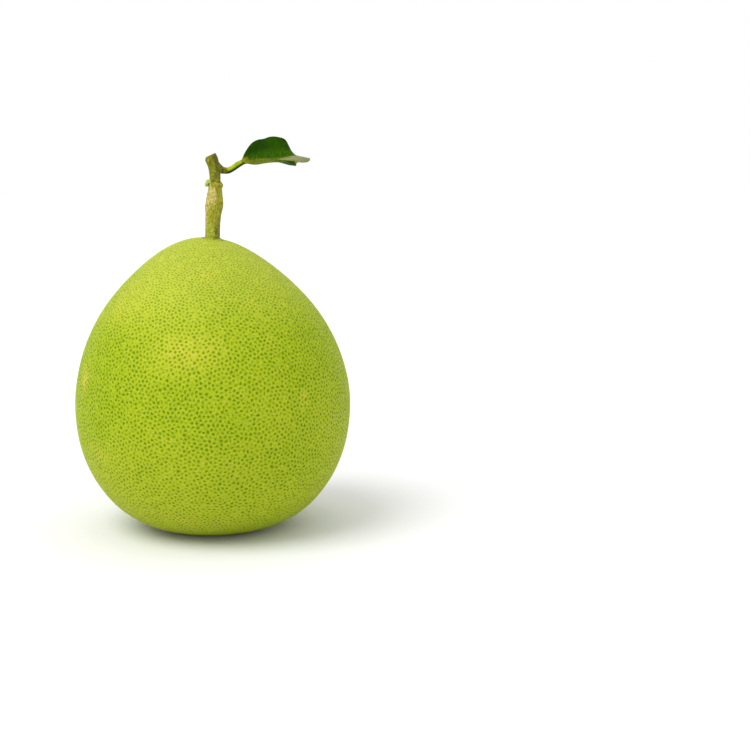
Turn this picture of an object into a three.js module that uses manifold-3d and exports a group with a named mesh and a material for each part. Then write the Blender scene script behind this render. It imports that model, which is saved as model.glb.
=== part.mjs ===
// A pomelo standing on its blossom end, with its calyx, its stem and one leaf.
// Millimetres, +Z up. The origin is the middle of the flat spot that the fruit rests on.
// The leaf points to +X and away from a viewer who looks along +Y.

import * as THREE from 'three';
import { mergeVertices } from 'three/addons/utils/BufferGeometryUtils.js';
import Module from 'manifold-3d';

const wasm = await Module();
wasm.setup();

// Clear gap between solids that touch on the real thing.
const GAP = 0.3;

// Fruit: how far its skin lies from a centre on its axis, at each angle from straight up.
const CENTRE_HEIGHT = 88.1;
const MEAN_RADIUS = 79.5;
const PEAR_SHAPE = -16.1;
const OVAL_SHAPE = 4.4;
const CROWN_LIFT = 7.9;
const CROWN_SPREAD = THREE.MathUtils.degToRad(27.7);
const FOOT_LIFT = -11.6;
const FOOT_SPREAD = THREE.MathUtils.degToRad(24.2);
const LEAN_START = 70;
const LEAN_SPAN = 95;
const LEAN = -3.9;
const FRUIT_SIDES = 60;
const FRUIT_RINGS = 38;
const ANGLE_TOLERANCE = 1e-7;
const CROWN_EDGE = Math.PI / 3;

// The shallow dimple round the stem, and the calyx that lies in it.
const DIMPLE_RADIUS = 12;
const DIMPLE_DEPTH = 0.4;
const DIMPLE_LID = 3;
const DIMPLE_RINGS = 5;
const DIMPLE_SIDES = 30;
const SEPAL_COUNT = 5;
const SEPAL_THICKNESS = 0.6;
const SEPAL_INNER = 4.5;
const SEPAL_OUTER = 6.2;
const SEPAL_NOTCH = 0.35;
const FRONT_LOBE_CENTRE = [0.9, -4.8, 165.7];
const FRONT_LOBE_RADII = [1.7, 0.6, 3.0];
const CALYX_SIDES = 40;
const CALYX_RINGS = 3;

// Stem: height, x and radius of its round section, from the sunk root to the cut top.
const STEM_STATIONS = [
  [159.5, 0.8, 4.0],
  [164.0, 0.9, 4.1],
  [170.0, 1.1, 4.2],
  [175.5, 1.5, 4.4],
  [181.3, 2.1, 5.0],
  [186.5, 2.4, 4.4],
  [191.0, 2.8, 3.8],
  [193.0, 2.9, 3.9],
  [195.5, 2.7, 3.2],
  [198.7, 2.6, 3.0],
  [203.0, 2.1, 3.2],
  [206.2, 1.2, 3.3],
  [209.0, 0.4, 2.7],
];
const STEM_FOOT_X = 0.9;
const STEM_SIDES = 16;
const STEM_RINGS = 34;
const CUT_SLOPE = 0.45;
const CUT_TILT_START = 200;

// Small round growths on the stem.
const STEM_KNOBS = [
  { centre: [5.7, -0.6, 192.3], radii: [1.5, 1.5, 1.5] },
  { centre: [-1.7, -0.6, 206.2], radii: [0.9, 0.9, 0.9] },
];
const KNOB_SIDES = 10;

// Tubes: points on the middle line, and the radius at even steps along it.
const HOOK_POINTS = [
  [2.0, -2.6, 193.6],
  [0.6, -2.9, 194.6],
  [-1.0, -2.8, 194.7],
  [-1.7, -2.6, 193.3],
  [-1.5, -2.5, 191.9],
];
const HOOK_RADII = [0.9, 1.0, 1.0, 0.9, 0.6];
const CUSHION_POINTS = [[2.0, 0, 207.6], [3.3, 0, 204.3], [4.6, 0, 202.0], [6.4, 0, 200.9]];
const CUSHION_RADII = [1.4, 2.0, 2.3, 2.0];
const PETIOLE_POINTS = [
  [5.4, 0, 200.9],
  [9.6, 0.6, 200.5],
  [12.2, 1.6, 201.5],
  [15.2, 3.1, 203.6],
  [18.4, 4.8, 204.7],
  [27.0, 9.3, 205.6],
  [37.0, 14.8, 206.2],
  [46.0, 19.8, 206.5],
];
const PETIOLE_RADII = [2.0, 1.6, 1.5, 1.5, 1.3, 1.0, 0.7, 0.5];
const TUBE_SIDES = 10;
const TUBE_STEPS_PER_POINT = 3;

// Leaf blade: the line of its midrib, and for each half its width and how steeply it rises from
// the midrib, in millimetres and degrees at even steps from the base to the tip.
const RIB_POINTS = [
  [17.6, 4.4, 205.2],
  [27.0, 9.3, 205.8],
  [37.0, 14.8, 206.3],
  [46.4, 19.8, 207.7],
  [54.0, 23.8, 206.2],
];
const FAR_WIDTH = [4, 7.8, 11.3, 13.3, 14.6, 15.7, 14.3, 11.2, 6.5, 5.5, 4];
const NEAR_WIDTH = [5, 8.5, 10, 10, 10, 10, 9.4, 7.5, 6.8, 5.8, 4.5];
const FAR_RISE = [45, 53, 58, 56, 51, 51, 52, 48, 4, -2, -4];
const NEAR_RISE = [-9, -9, -7, -6, -7, -13, -24, -26, -30, -28, -20];
const FAR_CUP = 12;
const NEAR_CURL = 0.3;
const END_ROUNDING = 8;

// The near half's margin juts out at one place, and then turns in towards the tip.
const CORNER_PLACE = 0.645;
const CORNER_SPREAD = 0.03;
const CORNER_REACH = 2.0;
const BLADE_THICKNESS = 0.8;
const BLADE_ROWS = 40;
const BLADE_COLUMNS = 12;
const END_ROW = 1.2;
const NORMAL_STEP = 0.001;

function curveThrough(points) {
  return new THREE.CatmullRomCurve3(points.map((point) => new THREE.Vector3(...point)), false, 'catmullrom');
}

// Smooth curve through values that are given at even steps, read at a place from 0 to 1.
function smoothValues(values) {
  const curve = curveThrough(values.map((value) => [value, 0, 0]));
  return (place) => curve.getPoint(place).x;
}

function geometryFrom(points, faces) {
  const geometry = new THREE.BufferGeometry();
  geometry.setAttribute('position', new THREE.Float32BufferAttribute(points.flatMap((p) => p.toArray()), 3));
  geometry.setIndex(faces);
  return geometry;
}

// Closed skin over a stack of rings that turn anticlockwise about the way from start to end.
function skin(rings, start, end) {
  const points = [start, ...rings.flat(), end];
  const sides = rings[0].length;
  const lastRing = 1 + (rings.length - 1) * sides;
  const faces = [];
  for (let side = 0; side < sides; side += 1) {
    const next = (side + 1) % sides;
    faces.push(0, 1 + next, 1 + side);
    for (let low = 1; low < lastRing; low += sides) {
      const high = low + sides;
      faces.push(low + side, low + next, high + next);
      faces.push(low + side, high + next, high + side);
    }
    faces.push(lastRing + side, lastRing + next, points.length - 1);
  }
  return geometryFrom(points, faces);
}

function solidOf(geometry) {
  const triVerts = new Uint32Array(geometry.index.array);
  const vertProperties = new Float32Array(geometry.attributes.position.array);
  return new wasm.Manifold(new wasm.Mesh({ numProp: 3, vertProperties, triVerts }));
}

function geometryOf(solid) {
  const mesh = solid.getMesh();
  const geometry = new THREE.BufferGeometry();
  geometry.setAttribute('position', new THREE.BufferAttribute(mesh.vertProperties, 3));
  geometry.setIndex(new THREE.BufferAttribute(mesh.triVerts, 1));
  return geometry;
}

function turns(count) {
  return Array.from({ length: count }, (_, step) => (2 * Math.PI * step) / count);
}

function bell(angle, spread) {
  return Math.exp(-((angle / spread) ** 2));
}

// Radius and height of the fruit's profile at an angle from straight up.
function profileAt(polar) {
  const reach = MEAN_RADIUS + PEAR_SHAPE * Math.cos(polar) + OVAL_SHAPE * Math.cos(2 * polar)
    + CROWN_LIFT * bell(polar, CROWN_SPREAD) + FOOT_LIFT * bell(Math.PI - polar, FOOT_SPREAD);
  return { radius: reach * Math.sin(polar), height: CENTRE_HEIGHT + reach * Math.cos(polar) };
}

function leanAt(height) {
  const rise = Math.max((height - LEAN_START) / LEAN_SPAN, 0);
  return LEAN * rise * rise;
}

function fruitPoint(polar, azimuth) {
  const { radius, height } = profileAt(polar);
  return new THREE.Vector3(leanAt(height) + radius * Math.cos(azimuth), radius * Math.sin(azimuth), height);
}

// Halves a range of angles until the test changes from false to true inside it.
function firstAngle(low, high, test) {
  let [from, to] = [low, high];
  while (to - from > ANGLE_TOLERANCE) {
    const middle = (from + to) / 2;
    if (test(middle)) to = middle;
    else from = middle;
  }
  return to;
}

// Height of the crown over a place near the stem.
function crownHeight(x, y) {
  const polar = firstAngle(0, CROWN_EDGE, (angle) => {
    const { radius, height } = profileAt(angle);
    return radius >= Math.hypot(x - leanAt(height), y);
  });
  return profileAt(polar).height;
}

function dimpleHeight(x, y) {
  const distance = Math.hypot(x - STEM_FOOT_X, y) / DIMPLE_RADIUS;
  const depth = DIMPLE_DEPTH * Math.max(1 - distance * distance, 0) ** 2;
  return crownHeight(x, y) - depth;
}

function wholeFruit() {
  const footAngle = firstAngle(Math.PI / 2, Math.PI, (angle) => profileAt(angle).height <= 0);
  const rings = [];
  for (let ring = FRUIT_RINGS; ring > 0; ring -= 1) {
    const polar = (footAngle * ring) / FRUIT_RINGS;
    rings.push(turns(FRUIT_SIDES).map((azimuth) => fruitPoint(polar, azimuth)));
  }
  rings[0].forEach((point) => point.setZ(0));
  return solidOf(skin(rings, new THREE.Vector3(0, 0, 0), fruitPoint(0, 0)));
}

// What the dimple takes away: its own surface below, and a lid just over the crown.
function dimpleCut() {
  const rings = [];
  for (let ring = 1; ring <= DIMPLE_RINGS; ring += 1) {
    const reach = (DIMPLE_RADIUS * ring) / DIMPLE_RINGS;
    rings.push(turns(DIMPLE_SIDES).map((turn) => {
      const x = STEM_FOOT_X + reach * Math.cos(turn);
      const y = reach * Math.sin(turn);
      return new THREE.Vector3(x, y, dimpleHeight(x, y));
    }));
  }
  rings.push(rings.at(-1).map((point) => point.clone().setZ(point.z + DIMPLE_LID)));
  const start = new THREE.Vector3(STEM_FOOT_X, 0, dimpleHeight(STEM_FOOT_X, 0));
  const end = new THREE.Vector3(STEM_FOOT_X, 0, crownHeight(STEM_FOOT_X, 0) + DIMPLE_LID);
  return solidOf(skin(rings, start, end));
}

// One place on the calyx: reach goes from 0 at the stem to 1 at the sepals' tips.
function calyxPoint(turn, reach, lift) {
  const lobe = SEPAL_NOTCH + (1 - SEPAL_NOTCH) * Math.abs(Math.cos((SEPAL_COUNT / 2) * (turn + Math.PI / 2)));
  const distance = SEPAL_INNER + (SEPAL_OUTER - SEPAL_INNER) * reach * lobe;
  const x = STEM_FOOT_X + distance * Math.cos(turn);
  const y = distance * Math.sin(turn);
  return new THREE.Vector3(x, y, dimpleHeight(x, y) + lift);
}

// Five flat sepals round the stem, as one ring.
function sepalRing() {
  const rings = [];
  for (const [lift, step] of [[GAP, 1], [GAP + SEPAL_THICKNESS, -1]]) {
    for (let ring = 0; ring <= CALYX_RINGS; ring += 1) {
      const reach = (step > 0 ? ring : CALYX_RINGS - ring) / CALYX_RINGS;
      rings.push(turns(CALYX_SIDES).map((turn) => calyxPoint(turn, reach, lift)));
    }
  }
  const points = rings.flat();
  const faces = [];
  for (let ring = 0; ring < rings.length; ring += 1) {
    const low = ring * CALYX_SIDES;
    const high = ((ring + 1) % rings.length) * CALYX_SIDES;
    for (let side = 0; side < CALYX_SIDES; side += 1) {
      const next = (side + 1) % CALYX_SIDES;
      faces.push(low + side, low + next, high + next);
      faces.push(low + side, high + next, high + side);
    }
  }
  return solidOf(geometryFrom(points, faces));
}

// Tapered round tube with closed ends, grown by a margin all over.
function tube(points, radii, margin) {
  const path = curveThrough(points);
  const radiusAt = smoothValues(radii);
  const steps = TUBE_STEPS_PER_POINT * (points.length - 1);
  const frames = path.computeFrenetFrames(steps, false);
  const rings = [];
  for (let step = 0; step <= steps; step += 1) {
    const centre = path.getPoint(step / steps);
    const radius = radiusAt(step / steps) + margin;
    rings.push(turns(TUBE_SIDES).map((turn) => centre.clone()
      .addScaledVector(frames.normals[step], radius * Math.cos(turn))
      .addScaledVector(frames.binormals[step], radius * Math.sin(turn))));
  }
  return solidOf(skin(rings, path.getPoint(0), path.getPoint(1)));
}

function knob({ centre, radii }, margin) {
  const ball = new THREE.SphereGeometry(1, KNOB_SIDES, KNOB_SIDES / 2);
  ball.deleteAttribute('normal');
  ball.deleteAttribute('uv');
  ball.scale(...radii.map((radius) => radius + margin));
  ball.translate(...centre);
  return solidOf(mergeVertices(ball));
}

// The round stem, whose sections tip over towards its slanting cut at the top.
function stemShaft(margin) {
  const heightAt = smoothValues(STEM_STATIONS.map(([height]) => height));
  const xAt = smoothValues(STEM_STATIONS.map(([, x]) => x));
  const radiusAt = smoothValues(STEM_STATIONS.map(([, , radius]) => radius));
  const top = STEM_STATIONS.at(-1)[0];
  const rings = [];
  for (let ring = 0; ring <= STEM_RINGS; ring += 1) {
    const place = ring / STEM_RINGS;
    const height = heightAt(place);
    const radius = radiusAt(place) + margin;
    const slope = CUT_SLOPE * THREE.MathUtils.smoothstep(height, CUT_TILT_START, top);
    rings.push(turns(STEM_SIDES).map((turn) => new THREE.Vector3(
      xAt(place) + radius * Math.cos(turn),
      radius * Math.sin(turn),
      height + slope * radius * Math.cos(turn),
    )));
  }
  const start = new THREE.Vector3(xAt(0), 0, heightAt(0) - margin);
  const end = new THREE.Vector3(xAt(1), 0, heightAt(1) + margin);
  rings[0].forEach((point) => point.setZ(start.z));
  return solidOf(skin(rings, start, end));
}

function wholeStem(margin) {
  let stem = stemShaft(margin);
  stem = stem.add(tube(CUSHION_POINTS, CUSHION_RADII, margin));
  stem = stem.add(tube(HOOK_POINTS, HOOK_RADII, margin));
  STEM_KNOBS.forEach((place) => {
    stem = stem.add(knob(place, margin));
  });
  return stem;
}

const ribCurve = curveThrough(RIB_POINTS);
const farRiseAt = smoothValues(FAR_RISE);
const nearRiseAt = smoothValues(NEAR_RISE);
const farWidthAt = smoothValues(FAR_WIDTH);
const nearWidthAt = smoothValues(NEAR_WIDTH);

// Width and rise in degrees of one half of the blade, across being positive on the far half.
function halfBlade(along, across) {
  const reach = Math.abs(across);
  const cap = Math.sqrt(1 - Math.abs(2 * along - 1) ** END_ROUNDING);
  if (across > 0) {
    return [farWidthAt(along) * cap, farRiseAt(along) + (FAR_CUP * (reach - 1)) / 2];
  }
  const corner = CORNER_REACH * bell(along - CORNER_PLACE, CORNER_SPREAD);
  const curl = 1 - NEAR_CURL + NEAR_CURL * reach ** 3;
  return [nearWidthAt(along) * cap + corner, nearRiseAt(along) * curl];
}

// Blade surface: along runs from the base to the tip, across from the near margin to the far one.
function bladePoint(along, across) {
  const heading = ribCurve.getTangent(along);
  const sideways = new THREE.Vector3(-heading.y, heading.x, 0).normalize();
  const reach = Math.abs(across);
  const [width, steepness] = halfBlade(along, across);
  const rise = THREE.MathUtils.degToRad(steepness);
  return ribCurve.getPoint(along)
    .addScaledVector(sideways, across * width * Math.cos(rise))
    .addScaledVector(new THREE.Vector3(0, 0, 1), reach * width * Math.sin(rise));
}

function bladeNormal(along, across) {
  const lengthways = bladePoint(along + NORMAL_STEP, across).sub(bladePoint(along - NORMAL_STEP, across));
  const widthways = bladePoint(along, across + NORMAL_STEP).sub(bladePoint(along, across - NORMAL_STEP));
  return lengthways.cross(widthways).normalize();
}

// The two faces of the blade share one split into triangles, and a wall joins their edges.
function bladeGeometry() {
  const count = BLADE_COLUMNS + 1;
  const faces = [];
  const upper = [];
  const lower = [];
  for (let row = 0; row <= BLADE_ROWS; row += 1) {
    const step = END_ROW + ((BLADE_ROWS - 2 * END_ROW) * row) / BLADE_ROWS;
    const along = (1 - Math.cos((Math.PI * step) / BLADE_ROWS)) / 2;
    for (let column = 0; column < count; column += 1) {
      const across = (2 * column) / BLADE_COLUMNS - 1;
      const offset = bladeNormal(along, across).multiplyScalar(BLADE_THICKNESS / 2);
      const middle = bladePoint(along, across);
      upper.push(middle.clone().add(offset));
      lower.push(middle.clone().sub(offset));
    }
  }
  const below = upper.length;
  const quad = (a, b, c, d) => faces.push(a, b, c, a, c, d);
  for (let row = 0; row < BLADE_ROWS; row += 1) {
    for (let column = 0; column < BLADE_COLUMNS; column += 1) {
      const a = row * count + column;
      const [b, c, d] = [a + count, a + count + 1, a + 1];
      quad(a, b, c, d);
      faces.push(below + a, below + c, below + b, below + a, below + d, below + c);
    }
    const near = row * count;
    const far = near + BLADE_COLUMNS;
    quad(near, below + near, below + near + count, near + count);
    quad(far, far + count, below + far + count, below + far);
  }
  for (let column = 0; column < BLADE_COLUMNS; column += 1) {
    const last = BLADE_ROWS * count + column;
    quad(column, column + 1, below + column + 1, below + column);
    quad(last, below + last, below + last + 1, last + 1);
  }
  return geometryFrom([...upper, ...lower], faces);
}

function makePiece(name, solid, color, roughness) {
  const material = new THREE.MeshStandardMaterial({ color, roughness, metalness: 0 });
  const piece = new THREE.Mesh(geometryOf(solid), material);
  piece.name = name;
  return piece;
}

const stemWithGap = wholeStem(GAP);
const frontLobe = knob({ centre: FRONT_LOBE_CENTRE, radii: FRONT_LOBE_RADII }, 0);
const calyx = sepalRing().add(frontLobe).subtract(stemWithGap);
const fruit = wholeFruit().subtract(dimpleCut()).subtract(stemWithGap);
const leaf = solidOf(bladeGeometry()).add(tube(PETIOLE_POINTS, PETIOLE_RADII, 0)).subtract(stemWithGap);

const group = new THREE.Group();
group.add(makePiece('fruit', fruit, 0xb3c436, 0.45));
group.add(makePiece('calyx', calyx, 0xa8ad55, 0.7));
group.add(makePiece('stem', wholeStem(0), 0x9c9440, 0.75));
group.add(makePiece('leaf', leaf, 0x2e5a10, 0.35));

export default group;
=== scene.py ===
"""Looks of a green pomelo with its calyx, stem and leaf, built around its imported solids.

Blender's own lengths are metres. The sizes below are millimetres, as on the solids, and are
turned into metres where a mesh is made.
"""

import math

import bmesh
import bpy
import numpy as np
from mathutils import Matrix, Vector, kdtree, noise


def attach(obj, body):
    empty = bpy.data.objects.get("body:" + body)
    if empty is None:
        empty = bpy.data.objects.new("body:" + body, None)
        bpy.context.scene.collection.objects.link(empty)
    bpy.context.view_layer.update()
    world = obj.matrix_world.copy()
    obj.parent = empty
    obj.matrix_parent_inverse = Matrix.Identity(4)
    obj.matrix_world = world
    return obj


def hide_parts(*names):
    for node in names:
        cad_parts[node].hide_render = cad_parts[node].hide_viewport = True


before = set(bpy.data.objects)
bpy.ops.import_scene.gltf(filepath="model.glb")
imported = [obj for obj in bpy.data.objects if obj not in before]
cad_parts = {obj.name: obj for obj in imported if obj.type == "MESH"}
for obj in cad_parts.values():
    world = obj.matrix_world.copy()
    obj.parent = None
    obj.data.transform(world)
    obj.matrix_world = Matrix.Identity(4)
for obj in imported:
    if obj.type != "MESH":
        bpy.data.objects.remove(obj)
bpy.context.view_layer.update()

MM = 0.001
SEED = 7

# Camera: where it stands, how far it looks down, and its lens on a square picture.
CAMERA_PLACE = (0.0912, -0.930, 0.245)
CAMERA_DOWN = math.radians(9.7)
CAMERA_LENS = 80.35
CAMERA_SENSOR = 36.0

# Light: one wide soft lamp from the upper left in front, in a white room.
KEY_FROM = (-0.45, -0.40, 0.80)
KEY_POWER = 1.8
KEY_SPREAD = math.radians(40)

# Fruit: how far its skin lies from a centre on its axis, at each angle from straight up.
CENTRE_HEIGHT = 88.1
MEAN_RADIUS = 79.5
PEAR_SHAPE = -16.1
OVAL_SHAPE = 4.4
CROWN_LIFT = 7.9
CROWN_SPREAD = math.radians(27.7)
FOOT_LIFT = -11.6
FOOT_SPREAD = math.radians(24.2)
LEAN_START = 70.0
LEAN_SPAN = 95.0
LEAN = -3.9
DIMPLE_RADIUS = 12.0
DIMPLE_DEPTH = 0.4

# Oil glands: how far apart they lie on the body, crown and foot, and how the peel dips at each one.
GLAND_SPACING = 2.62
CROWN_SPACING = 1.9
FOOT_SPACING = 2.2
GLAND_PACKING = 0.84
GLAND_JITTER = 0.30
GLAND_ROUNDS = 14
GLAND_NEIGHBOURS = 7
GLAND_PUSH = 0.25
CROWN_SPAN = (112, 160)
FOOT_SPAN = (25, 0)
GLAND_STRENGTHS = (0.65, 1.0)
FAINT_GLANDS = 0.08
FAINTNESS = 0.5
PIT_DEPTH = 0.26
PIT_BULGE = 0.05

# Low waves of the peel: their height and length.
WAVE_HEIGHT = 0.28
WAVE_LENGTH = 42.0
RIPPLE_HEIGHT = 0.05
RIPPLE_LENGTH = 6.0

# Random tones of the peel, over its whole skin: their strength and length.
TONE_CHANGE = 0.5
TONE_LENGTH = 46.0

# Broad tones of the peel: middle, radii, and how much yellower or, below zero, greener it is there.
TONES = (
    ((-40, -44, 126), (22, 30, 16), 0.35),
    ((-18, -74, 92), (18, 30, 12), -0.3),
    ((-56, -46, 84), (26, 30, 30), -0.9),
    ((56, -52, 104), (26, 30, 20), -0.65),
    ((2, -62, 125), (16, 30, 10), -0.2),
    ((-6, -72, 107), (18, 30, 12), 0.5),
    ((17, -42, 141), (18, 26, 14), -0.6),
    ((-52, -46, 108), (18, 24, 14), -0.5),
    ((-24, -42, 138), (16, 24, 12), 0.4),
    ((-42, -38, 20), (36, 36, 20), 0.75),
    ((-44, -16, 146), (12, 24, 14), -0.7),
)

# Pale scuffs, each with a middle, radii and strength, and brown specks, with a middle and radius. The
# ones listed are in view, and the rest are random; the third listed scuff is a painted sheen of the
# lamp.
# The scar at the foot has an inner and outer radius.
SCUFFS_AND_PAINTED_SHEEN = (
    ((-66.5, -34, 91), (2.2, 14, 6), 1.0),
    ((-47, -42, 131), (4, 12, 6), 0.8),
    # A painted sheen of the lamp on the front, broken by the pits.
    ((-5, -70, 110), (13, 20, 8), 0.5),
    ((-44, -36, 139), (8, 16, 4), 0.5),
    ((-58, -48, 51), (4, 12, 4), 0.5),
)
SCUFF_COUNT = 22
SCUFF_RADII = (2.0, 6.0)
SCUFF_STRENGTHS = (0.2, 0.5)
SPECKS = (
    ((-57.2, -38.0, 88.6), 0.9),
    ((-43.0, -46.0, 38.0), 0.8),
    ((-14.0, -60.0, 104.0), 0.7),
)
SPECK_COUNT = 26
SPECK_RADII = (0.3, 0.6)
SCAR_RADII = (2.2, 3.4)

# How much of its own part of the map each square of the peel fills.
MAP_FILL = 0.93

# Calyx: five flat sepals, and the lobe that stands against the stem.
SEPAL_COUNT = 5
SEPAL_THICKNESS = 0.8
SEPAL_INNER = 3.2
SEPAL_OUTER = 6.2
SEPAL_NOTCH = 0.5
SEPAL_SINK = 0.25
SEPAL_THINNING = 0.45
SEPAL_ROUGHNESS = 0.22
FRONT_LOBE_CENTRE = (0.9, -4.3, 165.4)
FRONT_LOBE_RADII = (1.7, 0.75, 3.2)

# Stem: height, x and radius of its round section, from the sunk root to the cut top.
STEM_FOOT_X = 0.9
STEM_STATIONS = (
    (159.5, 0.8, 4.0),
    (164.0, 0.9, 4.1),
    (170.0, 1.1, 4.2),
    (175.5, 1.5, 4.4),
    (181.3, 2.1, 5.0),
    (186.5, 2.4, 4.4),
    (191.0, 2.8, 3.8),
    (193.0, 2.9, 3.9),
    (195.5, 2.7, 3.2),
    (198.7, 2.6, 3.0),
    (203.0, 2.1, 3.2),
    (206.2, 1.2, 3.3),
    (209.0, 0.4, 2.7),
)
CUT_SLOPE = 0.45
CUT_TILT_START = 200.0
NODE_HEIGHT = 192.8
STEM_KNOBS = (
    ((5.7, -0.6, 192.3), (1.5, 1.5, 1.5)),
    ((-1.7, -0.6, 206.2), (0.9, 0.9, 0.9)),
)
HOOK_POINTS = (
    (2.0, -2.6, 193.6),
    (0.6, -2.9, 194.6),
    (-1.0, -2.8, 194.7),
    (-1.7, -2.6, 193.3),
    (-1.5, -2.5, 191.9),
)
HOOK_RADII = (0.9, 1.0, 1.0, 0.9, 0.6)
CUSHION_POINTS = ((2.0, 0.0, 207.6), (3.3, 0.0, 204.3), (4.6, 0.0, 202.0), (6.4, 0.0, 200.9))
CUSHION_RADII = (1.4, 2.0, 2.3, 2.0)
BUD_CENTRE = (-0.9, -2.8, 193.6)
BUD_RADII = (1.7, 2.9)

# Relief of the bark: how far each form stands out or, for the crease, sinks in, and its size.
FISSURE_HEIGHT = 0.07
FISSURE_SIZE = (1.3, 1.3, 5.0)
LUMP_HEIGHT = 0.14
LUMP_SIZE = 3.2
RIDGE_COUNT = 5
RIDGE_HEIGHT = 0.16
RIDGE_WANDER = 0.8
RING_HEIGHT = 0.25
RING_WIDTH = 0.55
CREASE_DEPTH = 0.28
CREASE_LIFT = 1.5
CREASE_WIDTH = 0.4
CORK_HEIGHT = 0.10
CUT_ROUGHNESS = 0.05

# Places round the stem, in degrees from +X: the cork patch, the cork strip and the two sides with
# painted shade.
CORK_PATCH_TURN = math.radians(215)
CORK_STRIP_TURN = math.radians(183)
TWIG_PAINTED_SHADE_TURN = math.radians(-10)
FOOT_PAINTED_SHADE_TURN = math.radians(-30)

# Heights of the bark's parts: there is none of a part at its first height, and all at the second.
CORK_PATCH_START = (180, 185)
CORK_PATCH_END = (192.5, 190)
CORK_STRIP_START = (166, 172)
CORK_STRIP_END = (192, 188)
TWIG_PAINTED_SHADE_SPAN = (196, 203)
FOOT_PAINTED_SHADE_SPAN = (178, 166)
FRESH_SPAN = (177, 167)
FRESHNESS = 0.9

# Voxel sizes of the fused skins.
STEM_VOXEL = 0.22
CALYX_VOXEL = 0.16

# Leaf: the line of its stalk and midrib, and for each half of the blade its width and how steeply
# it rises from the midrib, in millimetres and degrees at even steps from the base to the tip.
PETIOLE_POINTS = (
    (5.6, 0.0, 200.9),
    (9.6, 0.6, 200.5),
    (12.2, 1.6, 201.5),
    (15.2, 3.1, 203.6),
    (17.6, 4.4, 204.9),
)
PETIOLE_RADII = (2.0, 1.75, 1.65, 1.7, 1.5)
RIB_POINTS = (
    (17.6, 4.4, 205.2),
    (27.0, 9.3, 205.8),
    (37.0, 14.8, 206.3),
    (46.4, 19.8, 207.7),
    (54.0, 23.8, 206.2),
)
FAR_WIDTH = (4, 7.8, 11.3, 13.3, 14.6, 15.7, 14.3, 11.2, 6.5, 5.5, 4)
NEAR_WIDTH = (5, 8.5, 10, 10, 10, 10, 9.4, 7.5, 6.8, 5.8, 4.5)
FAR_RISE = (45, 53, 58, 56, 51, 51, 52, 48, 4, -2, -4)
NEAR_RISE = (-14, -12, -7, -6, -7, -15, -25, -26, -30, -28, -20)
FAR_CUP = 12.0
NEAR_CURL = 0.3
END_ROUNDING = 8
CORNER_PLACE = 0.645
CORNER_SPREAD = 0.03
CORNER_REACH = 2.0
BLADE_THICKNESS = 0.5

# Relief of the leaf: the midrib at its base, middle and tip, the side veins and the swell between them.
RIB_REACH = 0.8
RIB_HEIGHTS = (1.15, 0.8, 0.1)
RIB_GROOVE = 0.05
VEIN_COUNT = 9
VEIN_SWEEP = 0.20
VEIN_STAGGER = 0.35
VEIN_WIDTH = 0.085
VEIN_HEIGHT = 0.16
VEIN_GROOVE = 0.12
PILLOW_HEIGHT = 0.10
LEAF_WAVE_HEIGHT = 0.15
LEAF_WAVE_LENGTH = 11.0

# Where the stalk widens into the blade, and where the blade is olive, lighter inside, pale at the joint
# and painted with reflected light, as parts of its length from the base or of its half width from the
# midrib.
# Spans run from none to all.
JOIN_SPAN = (0.0016, 0.0616)
OLIVE_SPAN = (0.62, 0.30)
OLIVE_BAND_PLACES = (0.10, 0.40)
OLIVE_BAND_WIDTHS = (0.26, 0.10)
INNER_SPAN = (0.62, 0.25)
STRIP_START = (0.44, 0.54)
STRIP_PLACES = (0.44, 0.64)
STRIP_WIDTHS = (0.34, 0.66)
STRIP_FADE = 0.16
NEAR_TIP_START = (0.64, 0.70)
FAR_TIP_START = (0.78, 0.86)
JOINT_SPAN = (0.14, 0.02)
JOINT_PALENESS = 0.45

# Where the brown heel of the leafstalk ends, and where the stalk takes the colour of the blade.
HEEL_SPAN = (0.30, 0.14)
SHEET_SPAN = (0.86, 1.0)
SHEET_SHARE = 0.8

# The leaf's mesh: its rows and columns, how they crowd at the edges and stop short of the ends, and
# the numbers that its material reads at each point.
LEAF_ROWS = 220
STALK_ROWS = 46
LEAF_COLUMNS = 56
EDGE_CROWDING = 0.45
END_MARGIN = 0.025
LEAF_FACTS = ("vein", "under", "blade", "pale_and_painted_sheen", "olive", "side", "inner", "rib", "heel")

# Speckles: size in millimetres, fineness, the noise values between which they fade in, and stretch.
PEEL_MOTTLE = (1.5, 3.0, 0.40, 0.60)
PEEL_STROKES = (0.8, 1.0, 0.50, 0.60, (1, 1, 1.6))
PEEL_GLINTS = (0.9, 2.0, 0.58, 0.65)
SEPAL_FLECKS = (1.0, 3.0, 0.42, 0.60)
BARK_MOTTLE = (2.2, 4.0, 0.36, 0.64, (1, 1, 0.6))
BARK_FLECKS = (1.0, 4.0, 0.44, 0.56)
BARK_SPECKS = (1.2, 3.0, 0.56, 0.64)
LEAF_PATCHES = (7.0, 3.0, 0.35, 0.65)
LEAF_FLECKS = (1.3, 3.0, 0.42, 0.58)
OLIVE_GRAIN = (0.8, 3.0, 0.34, 0.66)
TAN_FLECKS = (1.1, 3.0, 0.54, 0.68)
STALK_MOTTLE = (2.5, 3.0, 0.4, 0.6)

# Fine grain: noise size, fineness and stretch, and its depth in millimetres where it is relief.
PEEL_GRAIN = (0.9, 2.0)
PEEL_GRAIN_DEPTH = 0.10
CRATER_DEPTH = 0.24
SEPAL_GRAIN = (0.5, 3.0)
SEPAL_GRAIN_DEPTH = 0.12
BARK_GRAIN = (0.45, 3.0, (1, 1, 0.4))
BARK_GRAIN_DEPTH = 0.2
WOOD_GRAIN = (0.8, 2.0)
LEAF_GRAIN = (0.6, 2.0)
LEAF_GRAIN_DEPTH = 0.05

# Stored numbers of the peel between which its yellow, ridges, pits, craters, and its scuffs and painted
# sheen fade in.
YELLOW_RANGE = (-0.8, 0.8)
RIDGE_RANGE = (0.28, 0.0)
PIT_RANGE = (0.34, 0.76)
CRATER_RANGE = (0.72, 0.20)
SCUFF_AND_PAINTED_SHEEN_RANGE = (0.7, 0.1)

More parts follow.
